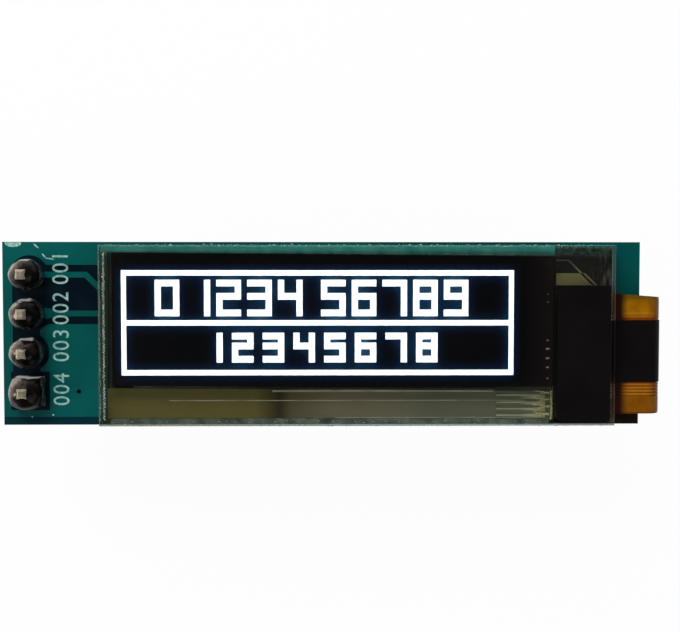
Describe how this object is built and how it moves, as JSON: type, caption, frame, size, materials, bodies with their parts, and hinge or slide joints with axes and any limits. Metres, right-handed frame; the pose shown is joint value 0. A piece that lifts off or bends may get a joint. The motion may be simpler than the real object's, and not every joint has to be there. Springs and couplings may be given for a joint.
{
  "type": "small oled display module",
  "caption": "Narrow glass display panel on a green circuit board, with a folded flex cable round one end and a row of header pins at the other.",
  "frame": {"origin": "middle of the pin row, on the face of the header's spacer that stands on a host board", "axes": "+X along the board away from the pins, +Y across it towards the first pin, +Z out of the display"},
  "size_m": [0.0432, 0.012, 0.0116],
  "materials": {
    "board": "solder mask over bare laminate",
    "masked_copper": "solder mask over copper, satin",
    "tinned_metal": "tinned, dull bright",
    "black_plastic": "moulded, matte",
    "foam_tape": "double-sided tape",
    "rear_glass": "plain glass",
    "drying_sheet": "matte sheet",
    "seal_resin": "cured resin",
    "cathode": "thin metal and organic layers, dark",
    "lead_metal": "thin metal film seen through glass",
    "lit_dots": "lit",
    "front_glass": "plain glass with scribed edges",
    "polarizer": "dark glossy film",
    "black_tape": "black film, satin",
    "silicon": "bare die",
    "polyimide": "amber film",
    "conductor": "copper under amber film",
    "solder": "solder, slightly dull",
    "pin_metal": "gold flash",
    "capacitor_ceramic": "tan ceramic",
    "resistor_ceramic": "black glazed top"
  },
  "bodies": {
    "root": {"circuit_board": "board", "front_copper": "masked_copper", "back_copper": "masked_copper", "back_lands": "tinned_metal", "ground_via": "tinned_metal", "header_spacer": "black_plastic", "mounting_tape": "foam_tape", "rear_glass": "rear_glass", "drying_sheet": "drying_sheet", "seal_frame": "seal_resin", "oled_stack": "cathode", "glass_leads": "lead_metal", "lit_frame": "lit_dots", "lit_figures": "lit_dots", "display_glass": "front_glass", "polarizer_film": "polarizer", "light_shield": "black_tape", "driver_chip": "silicon", "flex_cable": "polyimide", "flex_cover": "black_tape", "flex_conductors": "conductor", "flex_solder": "solder", "regulator_body": "black_plastic", "regulator_leads": "tinned_metal", "plated_hole_1": "tinned_metal", "header_pin_1": "pin_metal", "solder_joint_1": "solder", "capacitor_1": "capacitor_ceramic", "capacitor_1_ends": "tinned_metal", "resistor_1": "resistor_ceramic", "resistor_1_ends": "tinned_metal", "plated_hole_2": "tinned_metal", "header_pin_2": "pin_metal", "solder_joint_2": "solder", "capacitor_2": "capacitor_ceramic", "capacitor_2_ends": "tinned_metal", "resistor_2": "resistor_ceramic", "resistor_2_ends": "tinned_metal", "plated_hole_3": "tinned_metal", "header_pin_3": "pin_metal", "solder_joint_3": "solder", "capacitor_3": "capacitor_ceramic", "capacitor_3_ends": "tinned_metal", "resistor_3": "resistor_ceramic", "resistor_3_ends": "tinned_metal", "plated_hole_4": "tinned_metal", "header_pin_4": "pin_metal", "solder_joint_4": "solder", "capacitor_4": "capacitor_ceramic", "capacitor_4_ends": "tinned_metal", "resistor_4": "resistor_ceramic", "resistor_4_ends": "tinned_metal"}
  },
  "joints": []
}
